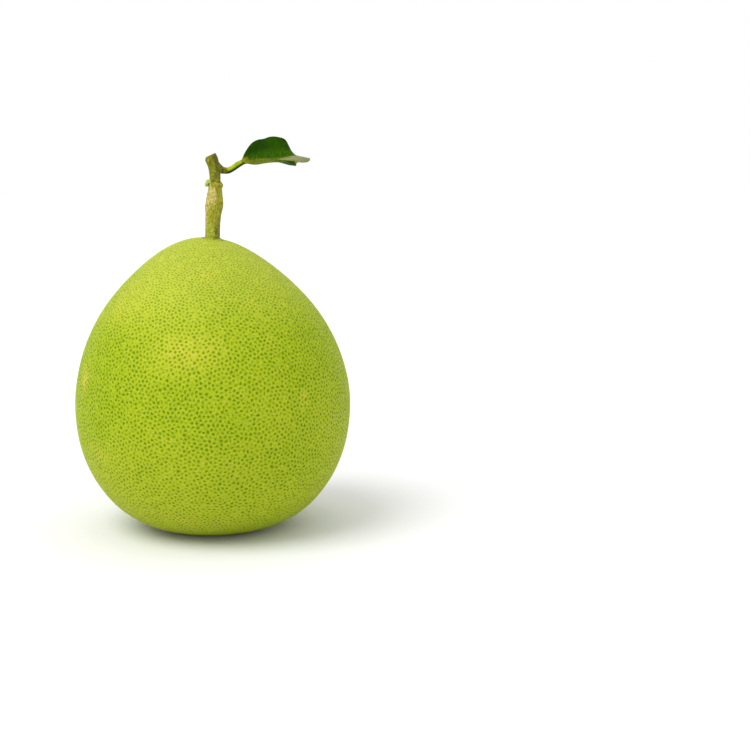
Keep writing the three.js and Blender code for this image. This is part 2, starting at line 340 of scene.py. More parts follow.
# How strongly each colour shows at most. Where it changes, there are two numbers: on the body and on
# the crown, on green and on yellow peel, above and below the leaf, or between patches and on them.
CROWN_SHARE = 0.6
MOTTLE_SHARE = 0.40
STROKE_SHARES = (0.38, 0.55)
RIDGE_SHARE = 0.40
PAINTED_GLINT_SHARES = (0.4, 0.65)
PIT_SHARES = (0.97, 0.75)
YELLOW_PIT_SHARES = (0.97, 0.80)
TIP_SHARE = 0.5
BARK_FLECK_SHARE = 0.65
TWIG_FLECK_SHARE = 0.6
BARK_SPECK_SHARE = 0.8
TWIG_SPECK_SHARE = 0.6
CORK_SPECK_SHARE = 0.8
PAINTED_SHADE_SHARE = 0.8
CREASE_SHARE = 0.8
INNER_SHARE = 0.8
VEIN_SHARES = (0.05, 0.5)
RIB_SHARE = 0.6
TAN_SHARE = 0.7
OLIVE_SHARES = (1.0, 0.85)

# Roughness, with its patches' size in millimetres where it varies, and gloss.
PEEL_SHEEN = (5.0, 0.42, 0.52)
PEEL_GLOSS = 0.045
SEPAL_SHEEN = 0.7
SEPAL_GLOSS = 0.1
BARK_SHEEN = (2.0, 0.60, 0.80)
BARK_GLOSS = 0.1
LEAF_SHEENS = (0.34, 0.6)
LEAF_GLOSS = 0.02

# The floor: its half width, and the two greys, in linear values, that it varies between.
FLOOR_REACH = 3000.0
FLOOR_PATCHES = 400.0
FLOOR_DARK = (0.79, 0.79, 0.79, 1)
FLOOR_LIGHT = (0.81, 0.81, 0.81, 1)
FLOOR_SHEEN = 0.9
FLOOR_GLOSS = 0.3


def srgb(red, green, blue):
    """A colour given as 0 to 255 on screen, as the linear values that Blender's nodes take."""
    parts = np.array((red, green, blue)) / 255
    linear = np.where(parts <= 0.04045, parts / 12.92, ((parts + 0.055) / 1.055) ** 2.4)
    return (*linear.tolist(), 1.0)


# Colours of the peel.
PEEL_GREEN = srgb(117, 143, 0)
PEEL_YELLOW = srgb(149, 165, 18)
# Paler at the crown: partly the peel's own colour, partly painted light falling from above.
CROWN_PALE_AND_LIT = srgb(161, 170, 79)
MOTTLE_LIGHT = srgb(169, 184, 24)
STROKE_LIGHT = srgb(193, 202, 58)
RIDGE_GREEN = srgb(163, 186, 26)
RIDGE_YELLOW = srgb(192, 196, 72)
# Golden flecks that paint glints of light on the peel's ridges.
PAINTED_GLINT = srgb(192, 182, 82)
PIT_GREEN = srgb(82, 120, 0)
PIT_OLIVE = srgb(112, 142, 0)
# Pale tan of the scuffs, also used for the painted sheen on the front.
SCUFF_AND_PAINTED_SHEEN_TAN = srgb(198, 186, 66)
MARK_BROWN = srgb(96, 76, 24)

# Colours of the calyx.
SEPAL_OLIVE = srgb(132, 136, 38)
SEPAL_LIGHT = srgb(164, 172, 60)
SEPAL_TIP = srgb(138, 126, 50)

# Colours of the stem.
BARK_BROWN = srgb(130, 118, 29)
BARK_OLIVE = srgb(150, 151, 40)
BARK_FLECK = srgb(166, 172, 58)
BARK_SPECK = srgb(112, 88, 30)
FRESH_OLIVE = srgb(144, 148, 42)
FRESH_LIGHT = srgb(170, 178, 62)
TWIG_BROWN = srgb(98, 96, 10)
TWIG_OLIVE = srgb(116, 122, 14)
TWIG_FLECK = srgb(130, 136, 30)
TWIG_SPECK = srgb(98, 90, 40)
CORK_TAN = srgb(160, 137, 73)
CORK_LIGHT = srgb(192, 181, 109)
CORK_SPECK = srgb(160, 170, 56)
# Painted shade on the right side of the twig and of the foot.
PAINTED_SHADE_DARK = srgb(66, 62, 22)
PAINTED_SHADE_LIGHT = srgb(96, 94, 50)
CREASE_BROWN = srgb(64, 52, 12)
BUD_GREEN = srgb(150, 156, 60)
BUD_LIGHT = srgb(182, 190, 96)
WOOD_LIGHT = srgb(160, 140, 84)
WOOD_DARK = srgb(112, 100, 44)

# Colours of the leaf.
BLADE_DARK = srgb(26, 58, 0)
BLADE_GREEN = srgb(36, 72, 1)
INNER_DARK = srgb(40, 76, 2)
INNER_GREEN = srgb(54, 91, 5)
VEIN_ABOVE = srgb(98, 128, 44)
RIB_ABOVE = srgb(104, 122, 30)
OLIVE_DARK = srgb(66, 84, 2)
OLIVE_LIGHT = srgb(110, 116, 22)
OLIVE_TAN = srgb(134, 128, 64)
# Pale colours that paint the reflection of light beside the midrib and at the tips, and the pale joint.
PALE_AND_PAINTED_SHEEN_EDGE = srgb(116, 116, 18)
PAINTED_SHEEN_DARK = srgb(116, 120, 74)
PAINTED_SHEEN_LIGHT = srgb(132, 134, 92)
UNDER_GREEN = srgb(60, 84, 24)
UNDER_LIGHT = srgb(78, 100, 34)
VEIN_BELOW = srgb(120, 134, 60)
STALK_GREEN = srgb(134, 154, 10)
STALK_LIGHT = srgb(160, 172, 40)
# Painted shade on the lower side of the leafstalk.
STALK_PAINTED_SHADE = srgb(26, 54, 0)
HEEL_DARK = srgb(78, 76, 14)
HEEL_BROWN = srgb(112, 108, 36)


def smoothstep(low, high, values):
    """Rises smoothly from 0 at low to 1 at high, or falls where high is the smaller one."""
    part = np.clip((values - low) / (high - low), 0, 1)
    return part * part * (3 - 2 * part)


def curve(points, places):
    """The smooth curve through points at even steps, read at places from 0 to 1."""
    points = np.asarray(points, float).reshape(len(points), -1)
    padded = np.vstack([2 * points[0] - points[1], points, 2 * points[-1] - points[-2]])
    steps = len(points) - 1
    scaled = np.clip(np.atleast_1d(places), 0, 1) * steps
    start = np.minimum(scaled.astype(int), steps - 1)
    part = (scaled - start)[:, None]
    before, here, after, beyond = (padded[start + k] for k in range(4))
    slope = after - before
    bend = 2 * before - 5 * here + 4 * after - beyond
    twist = 3 * here - before - 3 * after + beyond
    return 0.5 * (2 * here + slope * part + bend * part ** 2 + twist * part ** 3)


def noise_at(points, wavelength, octaves=1, shift=0.0):
    """Smooth noise from about -1 to 1 at each point. Points and wavelength are in millimetres.

    Each use has a shift of its own, so that no two of them look alike.
    """
    total = np.zeros(len(points))
    size = 1.0
    for octave in range(octaves):
        scaled = points * (2 ** octave / np.asarray(wavelength)) + shift + 17.3 * octave
        total += size * np.array([noise.noise(Vector(row)) for row in scaled.tolist()])
        size *= 0.5
    return total


def profile(polar):
    """How far the skin lies from the fruit's centre at an angle from straight up."""
    reach = MEAN_RADIUS + PEAR_SHAPE * np.cos(polar) + OVAL_SHAPE * np.cos(2 * polar)
    reach = reach + CROWN_LIFT * np.exp(-(polar / CROWN_SPREAD) ** 2)
    return reach + FOOT_LIFT * np.exp(-((math.pi - polar) / FOOT_SPREAD) ** 2)


def lean(height):
    return LEAN * (np.maximum(height - LEAN_START, 0) / LEAN_SPAN) ** 2


def plain_fruit(directions):
    """Places on the smooth fruit, from unit vectors out of its centre."""
    polar = np.arccos(np.clip(directions[:, 2], -1, 1))
    points = directions * profile(polar)[:, None]
    points[:, 2] += CENTRE_HEIGHT
    points[:, 0] += lean(points[:, 2])
    return points


def directions_of(points):
    """The unit vectors out of the fruit's centre that plain_fruit turns into these places."""
    out = points.copy()
    out[:, 0] -= lean(points[:, 2])
    out[:, 2] -= CENTRE_HEIGHT
    return out / np.linalg.norm(out, axis=1)[:, None]


def dimple(points):
    """How far the peel sinks round the stem."""
    distance = np.hypot(points[:, 0] - STEM_FOOT_X, points[:, 1]) / DIMPLE_RADIUS
    sunk = DIMPLE_DEPTH * np.maximum(1 - distance ** 2, 0) ** 2
    return np.where(points[:, 2] > CENTRE_HEIGHT, sunk, 0)


def outward(directions):
    """Unit normals of the smooth fruit."""
    step = 1e-3
    steep = np.abs(directions[:, 2:]) >= 0.9
    aside = np.cross(directions, np.where(steep, [1.0, 0.0, 0.0], [0.0, 0.0, 1.0]))
    aside /= np.linalg.norm(aside, axis=1)[:, None]
    along = np.cross(directions, aside)
    here = plain_fruit(directions)
    spans = []
    for tangent in (aside, along):
        moved = directions + step * tangent
        spans.append(plain_fruit(moved / np.linalg.norm(moved, axis=1)[:, None]) - here)
    normals = np.cross(spans[0], spans[1])
    return normals / np.linalg.norm(normals, axis=1)[:, None]


def gland_spacing(height):
    spacing = GLAND_SPACING + (CROWN_SPACING - GLAND_SPACING) * smoothstep(*CROWN_SPAN, height)
    return spacing + (FOOT_SPACING - GLAND_SPACING) * smoothstep(*FOOT_SPAN, height)


def first_glands(random):
    """Gland places in an even spiral from the crown to the foot, each moved a little at random."""
    polar = np.linspace(0, math.pi, 2000)
    rows = plain_fruit(np.stack([np.sin(polar), 0 * polar, np.cos(polar)], 1))
    radius = profile(polar) * np.sin(polar)
    arc = np.hypot(np.diff(radius), np.diff(rows[:, 2]))
    ring = math.pi * (radius[1:] + radius[:-1])
    share = arc * ring / (GLAND_PACKING * gland_spacing(rows[1:, 2]) ** 2)
    reached = np.concatenate([[0], np.cumsum(share)])
    count = int(reached[-1])
    place = np.interp(np.arange(count) + 0.5, reached, polar)
    golden = math.pi * (3 - math.sqrt(5))
    turn = golden * np.arange(count)
    spiral = np.stack([np.sin(place) * np.cos(turn), np.sin(place) * np.sin(turn), np.cos(place)], 1)
    points = plain_fruit(spiral)
    points += random.normal(size=points.shape) * GLAND_JITTER * gland_spacing(points[:, 2])[:, None]
    return plain_fruit(directions_of(points))


def spread_glands(points):
    """Pushes glands apart where they lie closer than their spacing."""
    for _ in range(GLAND_ROUNDS):
        tree = kdtree.KDTree(len(points))
        for number, point in enumerate(points.tolist()):
            tree.insert(point, number)
        tree.balance()
        near = [tree.find_n(point, GLAND_NEIGHBOURS) for point in points.tolist()]
        found = np.array([[hit[1] for hit in hits] for hits in near])
        away = points[:, None, :] - points[found]
        distance = np.linalg.norm(away, axis=2) + 1e-9
        wanted = gland_spacing(points[:, 2])[:, None]
        push = np.clip(wanted - distance, 0, None) * (distance > 1e-6) * GLAND_PUSH
        points = points + (away / distance[:, :, None] * push[:, :, None]).sum(axis=1)
        points = plain_fruit(directions_of(points))
    return points


def sphere_triangles(directions):
    """Triangles that join neighbouring directions, all turned outward."""
    work = bmesh.new()
    for row in directions.tolist():
        work.verts.new(row)
    work.verts.index_update()
    bmesh.ops.convex_hull(work, input=work.verts[:])
    triangles = np.array([[vert.index for vert in face.verts] for face in work.faces])
    work.free()
    a, b, c = (directions[triangles[:, k]] for k in range(3))
    inward = np.einsum("ij,ij->i", np.cross(b - a, c - a), a) < 0
    triangles[inward] = triangles[inward][:, ::-1]
    return triangles


def split_triangles(directions, triangles):
    """Adds a point on every edge and in every triangle, and joins each triangle's points in six."""
    corners = triangles[:, [0, 1, 1, 2, 2, 0]].reshape(-1, 2)
    edges, edge_of = np.unique(np.sort(corners, axis=1), axis=0, return_inverse=True)
    edge_of = edge_of.reshape(-1, 3) + len(directions)
    middle = np.arange(len(triangles)) + len(directions) + len(edges)
    added = np.vstack([directions[edges].mean(axis=1), directions[triangles].mean(axis=1)])
    added /= np.linalg.norm(added, axis=1)[:, None]
    faces = []
    for side in range(3):
        start, end, half = triangles[:, side], triangles[:, (side + 1) % 3], edge_of[:, side]
        faces.append(np.stack([start, half, middle], 1))
        faces.append(np.stack([half, end, middle], 1))
    return np.vstack([directions, added]), np.vstack(faces), len(edges)


def mesh_object(name, points, faces):
    """A smooth object from points in millimetres."""
    mesh = bpy.data.meshes.new(name)
    mesh.from_pydata((np.asarray(points) * MM).tolist(), [], np.asarray(faces).tolist())
    mesh.shade_smooth()
    made = bpy.data.objects.new(name, mesh)
    bpy.context.collection.objects.link(made)
    return made


def give(piece, name, values):
    """Stores one number for each vertex, which the piece's material reads by name."""
    stored = piece.data.attributes.new(name, "FLOAT", "POINT")
    stored.data.foreach_set("value", np.asarray(values, np.float32))


def cube_map(piece, directions, faces):
    """Lays the peel's faces out on six squares of a map, one for each side of a cube."""
    centres = directions[faces].mean(axis=1)
    axis = np.abs(centres).argmax(axis=1)
    back = np.take_along_axis(centres, axis[:, None], 1)[:, 0] < 0
    across, up = (axis + 1) % 3, (axis + 2) % 3
    corners = directions[faces]
    depth = np.abs(np.take_along_axis(corners, axis[:, None, None], 2))[:, :, 0]
    square = []
    for side in (across, up):
        slope = np.take_along_axis(corners, side[:, None, None], 2)[:, :, 0] / depth
        square.append((np.arctan(slope) / (math.pi / 4) * MAP_FILL + 1) / 2)
    place = np.stack([(square[0] + axis[:, None]) / 3, (square[1] + back[:, None]) / 2], 2)
    layer = piece.data.uv_layers.new(name="OFBake")
    layer.data.foreach_set("uv", place.reshape(-1))


def random_place(random):
    direction = random.normal(size=(1, 3))
    return tuple(plain_fruit(direction / np.linalg.norm(direction))[0])


def peel_scuffs_and_painted_sheen(points):
    """How much pale yellow shows at each point: scuffs, and a painted sheen of the lamp on the front.
    """
    random = np.random.default_rng(SEED + 2)
    scuffs_and_painted_sheen = list(SCUFFS_AND_PAINTED_SHEEN)
    for _ in range(SCUFF_COUNT):
        place = random_place(random)
        radii = tuple(random.uniform(*SCUFF_RADII, 3))
        scuffs_and_painted_sheen.append((place, radii, random.uniform(*SCUFF_STRENGTHS)))
    amount = np.zeros(len(points))
    for place, radii, strength in scuffs_and_painted_sheen:
        distance = np.linalg.norm((points - np.array(place)) / np.array(radii), axis=1)
        amount = np.maximum(amount, strength * np.exp(-distance ** 2))
    ragged = 0.8 + 1.1 * noise_at(points, 2.6, 2, 21.0)
    return np.clip(amount * ragged, 0, 1)


def peel_marks(points):
    """How brown the peel is at each point: a few specks, and the scar at the blossom end."""
    random = np.random.default_rng(SEED + 1)
    marks = list(SPECKS)
    for _ in range(SPECK_COUNT):
        marks.append((random_place(random), random.uniform(*SPECK_RADII)))
    brown = np.zeros(len(points))
    for place, radius in marks:
        distance = np.linalg.norm(points - np.array(place), axis=1)
        brown = np.maximum(brown, smoothstep(1.6 * radius, 0.5 * radius, distance))
    scar = np.linalg.norm(points * [1, 1, 0.2], axis=1)
    return np.maximum(brown, smoothstep(SCAR_RADII[1], SCAR_RADII[0], scar))


def peel_tone(points):
    """How yellow or deep green broad areas of the peel are, from -1 for green to 1 for yellow."""
    tone = TONE_CHANGE * noise_at(points, TONE_LENGTH, 2, 12.0)
    for place, radius, strength in TONES:
        distance = np.linalg.norm((points - np.array(place)) / np.array(radius), axis=1)
        tone += strength * np.exp(-distance ** 2)
    return np.clip(tone, -1, 1)


def make_peel():
    """The peel, with a vertex at each gland, on each line between two glands and between three."""
    random = np.random.default_rng(SEED)
    glands = directions_of(spread_glands(first_glands(random)))
    directions, faces, edge_count = split_triangles(glands, sphere_triangles(glands))
    points = plain_fruit(directions)
    strength = random.uniform(*GLAND_STRENGTHS, len(glands))
    strength[random.random(len(glands)) < FAINT_GLANDS] *= FAINTNESS
    pit = np.zeros(len(points))
    pit[:len(glands)] = strength
    swelling = np.zeros(len(points))
    swelling[len(glands) + edge_count:] = 1
    waves = WAVE_HEIGHT * noise_at(points, WAVE_LENGTH, 2, 3.1)
    waves += RIPPLE_HEIGHT * noise_at(points, RIPPLE_LENGTH, 1, 8.2)
    height = PIT_BULGE * swelling - PIT_DEPTH * pit + waves
    sunk = dimple(points)
    points = points + outward(directions) * height[:, None]
    points[:, 2] -= sunk
    points[:, 2] = np.maximum(points[:, 2], 0)
    peel = mesh_object("pomelo_peel", points, faces)
    give(peel, "pit", pit)
    give(peel, "mark", peel_marks(points))
    give(peel, "tone", peel_tone(points))
    give(peel, "scuff_and_painted_sheen", peel_scuffs_and_painted_sheen(points))
    cube_map(peel, directions, faces)
    return peel


def band(low, high, sides):
    """Triangles between two rings, whose points are numbered from low and from high."""
    side = np.arange(sides)
    after = (side + 1) % sides
    first = np.stack([low + side, low + after, high + after], 1)
    second = np.stack([low + side, high + after, high + side], 1)
    return np.vstack([first, second])


def skin(rings):
    """Closed shell over a stack of rings, each an array of places that turn the same way."""
    count, sides = len(rings), len(rings[0])
    points = np.vstack([rings[0].mean(axis=0), *rings, rings[-1].mean(axis=0)])
    side = np.arange(sides)
    after = (side + 1) % sides
    faces = [np.stack([0 * side, 1 + after, 1 + side], 1)]
    faces += [band(1 + row * sides, 1 + (row + 1) * sides, sides) for row in range(count - 1)]
    last = 1 + (count - 1) * sides
    faces.append(np.stack([last + side, last + after, 0 * side + len(points) - 1], 1))
    return points, np.vstack(faces)


def turns(count):
    return 2 * math.pi * np.arange(count) / count


def tube(points, radii, sides=24, steps=40):
    """Closed tapered tube along a curve."""
    places = np.linspace(0, 1, steps)
    middle = curve(points, places)
    radius = curve(radii, places)[:, 0]
    heading = np.gradient(middle, axis=0)
    heading /= np.linalg.norm(heading, axis=1)[:, None]
    aside = np.cross(heading, [0.3, 1.0, 0.2])
    aside /= np.linalg.norm(aside, axis=1)[:, None]
    above = np.cross(heading, aside)
    turn = turns(sides)[:, None]
    rings = []
    for k in range(steps):
        rings.append(middle[k] + radius[k] * (np.cos(turn) * aside[k] + np.sin(turn) * above[k]))
    return skin(rings)


def ball(centre, radii, sides=24):
    polar = np.linspace(math.pi, 0, sides // 2 + 1)[1:-1]
    turn = turns(sides)
    rings = []
    for angle in polar:
        across = np.sin(angle)
        ring = np.stack([across * np.cos(turn), across * np.sin(turn), 0 * turn + np.cos(angle)], 1)
        rings.append(ring * radii + centre)
    return skin(rings)


def fuse(name, shells, voxel):
    """One closed skin around several overlapping shells."""
    points, faces, start = [], [], 0
    for shell_points, shell_faces in shells:
        points.append(shell_points)
        faces.append(shell_faces + start)
        start += len(shell_points)
    loose = mesh_object(name + "_shells", np.vstack(points), np.vstack(faces))
    remesh = loose.modifiers.new("skin", "REMESH")
    remesh.mode = "VOXEL"
    remesh.voxel_size = voxel * MM
    smooth = loose.modifiers.new("soften", "SMOOTH")
    smooth.iterations = 4
    smooth.factor = 0.5
    whole = bpy.data.meshes.new_from_object(loose.evaluated_get(bpy.context.evaluated_depsgraph_get()))
    bpy.data.objects.remove(loose)
    made = bpy.data.objects.new(name, whole)
    whole.name = name
    bpy.context.collection.objects.link(made)
    whole.shade_smooth()
    return made


def vertex_data(piece):
    """Places in millimetres, and normals, of a piece's vertices."""
    count = len(piece.data.vertices)
    points = np.empty(count * 3, np.float32)
    normals = np.empty(count * 3, np.float32)
    piece.data.vertices.foreach_get("co", points)
    piece.data.vertices.foreach_get("normal", normals)
    return points.reshape(-1, 3).astype(float) / MM, normals.reshape(-1, 3).astype(float)


def move_vertices(piece, points):
    piece.data.vertices.foreach_set("co", (points * MM).astype(np.float32).reshape(-1))
    piece.data.update()


def stem_shaft(sides=48, steps=160):
    """The round shaft of the stem, cut aslant at its top."""
    places = np.linspace(0, 1, steps)
    height, middle, radius = (curve([row[k] for row in STEM_STATIONS], places)[:, 0] for k in range(3))
    slope = CUT_SLOPE * smoothstep(CUT_TILT_START, STEM_STATIONS[-1][0], height)
    turn = turns(sides)
    rings = []
    for k in range(steps):
        out = radius[k] * np.cos(turn)
        ring = [middle[k] + out, radius[k] * np.sin(turn), height[k] + slope[k] * out]
        rings.append(np.stack(ring, 1))
    return skin(rings)


def make_stem():
    shells = [stem_shaft(), tube(CUSHION_POINTS, CUSHION_RADII), tube(HOOK_POINTS, HOOK_RADII)]
    shells += [ball(np.array(centre), np.array(radii)) for centre, radii in STEM_KNOBS]
    stem = fuse("pomelo_stem", shells, STEM_VOXEL)
    points, normals = vertex_data(stem)
    height = points[:, 2]
    axis = np.interp(height, [row[0] for row in STEM_STATIONS], [row[1] for row in STEM_STATIONS])
    turn = np.arctan2(points[:, 1], points[:, 0] - axis)
    top = STEM_STATIONS[-1][0] + CUT_SLOPE * (points[:, 0] - STEM_STATIONS[-1][1])
    cut = smoothstep(-0.35, -0.1, height - top) * smoothstep(0.5, 0.8, normals[:, 2])
    twig = smoothstep(NODE_HEIGHT + 1, NODE_HEIGHT + 4, height)
    fissures = noise_at(points, FISSURE_SIZE, 2, 2.2)
    lumps = noise_at(points, LUMP_SIZE, 2, 9.4)
    ridges = np.cos(RIDGE_COUNT * turn + RIDGE_WANDER * noise_at(points, 9.0, 1, 4.4))
    ring = np.exp(-((height - NODE_HEIGHT + 0.5 * lumps) / RING_WIDTH) ** 2)
    crease_off = height - NODE_HEIGHT - CREASE_LIFT + 0.9 * lumps + 0.4 * np.sin(turn)
    crease = np.exp(-(crease_off / CREASE_WIDTH) ** 2)
    crease *= smoothstep(-0.35, 0.1, noise_at(points, 4.0, 1, 7.7))
    cork = smoothstep(0.05, 0.5, cork_amount(points, turn, lumps))
    rise = FISSURE_HEIGHT * fissures + LUMP_HEIGHT * lumps + RIDGE_HEIGHT * twig * ridges
    rise += RING_HEIGHT * ring
    rise -= CREASE_DEPTH * crease
    rise += CORK_HEIGHT * cork * noise_at(points, 0.9, 1, 6.6)
    rise = rise * (1 - cut) + CUT_ROUGHNESS * cut * noise_at(points, 0.7, 1, 1.2)
    move_vertices(stem, points + normals * rise[:, None])
    give(stem, "cork", cork)
    give(stem, "twig", twig)
    give(stem, "fresh", fresh_amount(height, turn, lumps))
    give(stem, "cut", cut)
    give(stem, "crease", np.clip(crease - 0.3 * fissures, 0, 1))
    bud = np.linalg.norm((points - BUD_CENTRE) * [1, 1, 0.9], axis=1)
    give(stem, "bud", smoothstep(BUD_RADII[1], BUD_RADII[0], bud))
    # Painted shade on the right side of the twig and of the foot.
    give(stem, "painted_shade", painted_shade_amount(height, turn, lumps))
    return stem


def fresh_amount(height, turn, lumps):
    """Where the foot of the stem is fresh and green, on the viewer's side."""
    fresh = FRESHNESS * smoothstep(*FRESH_SPAN, height + 1.5 * lumps)
    return fresh * smoothstep(0.0, 0.7, -np.sin(turn))


def painted_shade_amount(height, turn, lumps):
    """Where painted shade darkens the bark: the right side of the twig and of the foot."""
    twig = smoothstep(0.35, 0.8, np.cos(turn - TWIG_PAINTED_SHADE_TURN) + 0.3 * lumps)
    foot = smoothstep(0.6, 0.95, np.cos(turn - FOOT_PAINTED_SHADE_TURN) + 0.2 * lumps)
    foot = foot * smoothstep(*FOOT_PAINTED_SHADE_SPAN, height)
    return np.maximum(twig * smoothstep(*TWIG_PAINTED_SHADE_SPAN, height), 0.8 * foot)


def cork_amount(points, turn, lumps):
    """Where tan cork covers the bark: the upper left of the swollen part, and a strip down the left."""
    height = points[:, 2]
    patch = smoothstep(*CORK_PATCH_START, height) * smoothstep(*CORK_PATCH_END, height)
    patch = patch * smoothstep(-0.1, 0.7, np.cos(turn - CORK_PATCH_TURN))
    strip = smoothstep(*CORK_STRIP_START, height) * smoothstep(*CORK_STRIP_END, height)
    strip = strip * smoothstep(0.55, 0.9, np.cos(turn - CORK_STRIP_TURN))
    ragged = 0.5 * noise_at(points, 2.0, 2, 3.3)
    return np.maximum(patch, 0.9 * strip) + 0.35 * lumps + ragged - 0.15


def sepal_ring(sides=160, steps=10):
    """Five flat sepals round the stem, as one closed ring."""
    rings = []
    turn = turns(sides)
    lobe = SEPAL_NOTCH + (1 - SEPAL_NOTCH) * np.abs(np.cos(SEPAL_COUNT / 2 * (turn + math.pi / 2)))
    half = np.linspace(0, 1, steps)
    for lift, reaches in ((-SEPAL_SINK, half), (SEPAL_THICKNESS - SEPAL_SINK, half[::-1])):
        for reach in reaches:
            distance = SEPAL_INNER + (SEPAL_OUTER - SEPAL_INNER) * reach * lobe
            flat = np.stack([STEM_FOOT_X + distance * np.cos(turn), distance * np.sin(turn)], 1)
            thin = 1 - SEPAL_THINNING * reach ** 2
            rings.append(np.column_stack([flat, crown_height(flat) + lift * thin]))
    count = len(rings)
    faces = [band(row * sides, (row + 1) % count * sides, sides) for row in range(count)]
    return np.vstack(rings), np.vstack(faces)


def crown_height(flat):
    """Height of the dimpled crown over places near the stem."""
    polar = np.linspace(0, math.pi / 3, 600)
    radius, height = profile(polar) * np.sin(polar), profile(polar) * np.cos(polar) + CENTRE_HEIGHT
    found = np.full(len(flat), CENTRE_HEIGHT + 70.0)
    for _ in range(12):
        distance = np.hypot(flat[:, 0] - lean(found), flat[:, 1])
        found = np.interp(distance, radius, height)
    return found - dimple(np.column_stack([flat, found]))


def make_calyx():
    lobe = ball(np.array(FRONT_LOBE_CENTRE), np.array(FRONT_LOBE_RADII))
    calyx = fuse("pomelo_calyx", [sepal_ring(), lobe], CALYX_VOXEL)
    points, normals = vertex_data(calyx)
    rise = SEPAL_ROUGHNESS * noise_at(points, 1.6, 2, 5.0)
    move_vertices(calyx, points + normals * rise[:, None])
    distance = np.hypot(points[:, 0] - STEM_FOOT_X, points[:, 1])
    give(calyx, "tip", smoothstep(5.0, 7.0, distance) + 0.25 * noise_at(points, 2.0, 1, 1.0))
    return calyx


def half_blade(along, across):
    """Width and rise of the blade on one side of its midrib. across is positive on the far half."""
    reach = np.abs(across)
    cap = np.sqrt(1 - np.abs(2 * along - 1) ** END_ROUNDING)
    far = smoothstep(-0.05, 0.05, across)
    corner = CORNER_REACH * np.exp(-((along - CORNER_PLACE) / CORNER_SPREAD) ** 2)
    near_width = curve(NEAR_WIDTH, along)[:, 0] * cap + corner
    far_width = curve(FAR_WIDTH, along)[:, 0] * cap
    near_rise = curve(NEAR_RISE, along)[:, 0] * (1 - NEAR_CURL + NEAR_CURL * reach ** 3)
    far_rise = curve(FAR_RISE, along)[:, 0] + FAR_CUP * (reach - 1) / 2
    width = near_width + far * (far_width - near_width)
    return width, np.radians(near_rise + far * (far_rise - near_rise))


def blade_middle(along, across):
    """Places on the middle sheet of the blade."""
    step = 1e-3
    middle = curve(RIB_POINTS, along)
    heading = curve(RIB_POINTS, along + step) - curve(RIB_POINTS, along - step)
    aside = np.stack([-heading[:, 1], heading[:, 0]], 1)
    aside /= np.linalg.norm(aside, axis=1)[:, None]
    width, rise = half_blade(along, across)
    middle[:, :2] += aside * (across * width * np.cos(rise))[:, None]
    middle[:, 2] += np.abs(across) * width * np.sin(rise)
    return middle


def blade_normal(along, across):
    step = 1e-3
    lengthways = blade_middle(along + step, across) - blade_middle(along - step, across)
    wideways = blade_middle(along, across + 0.02) - blade_middle(along, across - 0.02)
    normal = np.cross(lengthways, wideways)
    return normal / (np.linalg.norm(normal, axis=1)[:, None] + 1e-12)


def vein_pattern(along, across):
    """How near a place is to a side vein, from 0 to 1."""
    reach = np.abs(across)
    number = VEIN_COUNT * (along - VEIN_SWEEP * reach ** 1.3) + VEIN_STAGGER * (across > 0)
    off = np.abs(number - np.round(number))
    line = np.exp(-(off / VEIN_WIDTH) ** 2) * smoothstep(1.0, 0.75, reach)
    return line * smoothstep(0.02, 0.08, along) * smoothstep(0.0, 0.08, reach)


def stalk_ring(place, across, above):
    """One round ring of the leafstalk."""
    middle = curve(PETIOLE_POINTS, place)[0]
    heading = curve(PETIOLE_POINTS, place + 0.01)[0] - curve(PETIOLE_POINTS, place - 0.01)[0]
    heading /= np.linalg.norm(heading)
    aside = np.array([-heading[1], heading[0], 0])
    aside /= np.linalg.norm(aside)
    upward = np.cross(heading, aside)
    radius = curve(PETIOLE_RADII, place)[0, 0]
    round_off = above * np.sqrt(np.clip(1 - across ** 2, 0, 1))
    return middle + radius * (across[:, None] * aside + round_off[:, None] * upward)


def blade_ring(along, across, above, vein):
    """One ring round the blade, with its midrib and veins standing out below."""
    width = half_blade(along, across)[0]
    thin_off = np.sqrt(1 - np.abs(across) ** 10)
    rib = np.exp(-(across * width / RIB_REACH) ** 2) * np.interp(along, [0, 0.5, 1], RIB_HEIGHTS)
    relief = np.where(above < 0, rib + VEIN_HEIGHT * vein, -VEIN_GROOVE * vein - RIB_GROOVE * rib)
    pillow = PILLOW_HEIGHT * (1 - vein) * smoothstep(0, 0.2, np.abs(across))
    pillow = pillow * smoothstep(1, 0.7, np.abs(across))
    lift = above * (BLADE_THICKNESS / 2 * thin_off + relief) + pillow * (above > 0)
    return blade_middle(along, across) + blade_normal(along, across) * lift[:, None]


def pale_and_painted_sheen_amount(along, across):
    """Where the blade is pale: painted reflections beside the midrib on the near half and at the tip,
    and a pale joint.
    """
    distance = np.abs(across)
    width = np.interp(along, STRIP_PLACES, STRIP_WIDTHS)
    beside = smoothstep(*STRIP_START, along) * smoothstep(width, width - STRIP_FADE, distance)
    beside = beside * (across < 0) * smoothstep(0.02, 0.10, distance)
    joint = JOINT_PALENESS * smoothstep(*JOINT_SPAN, along) * smoothstep(0.7, 0.3, distance)
    tip = smoothstep(*NEAR_TIP_START, along) * (across < 0)
    tip = tip + smoothstep(*FAR_TIP_START, along) * (across >= 0)
    return np.maximum(np.maximum(beside, tip), joint)


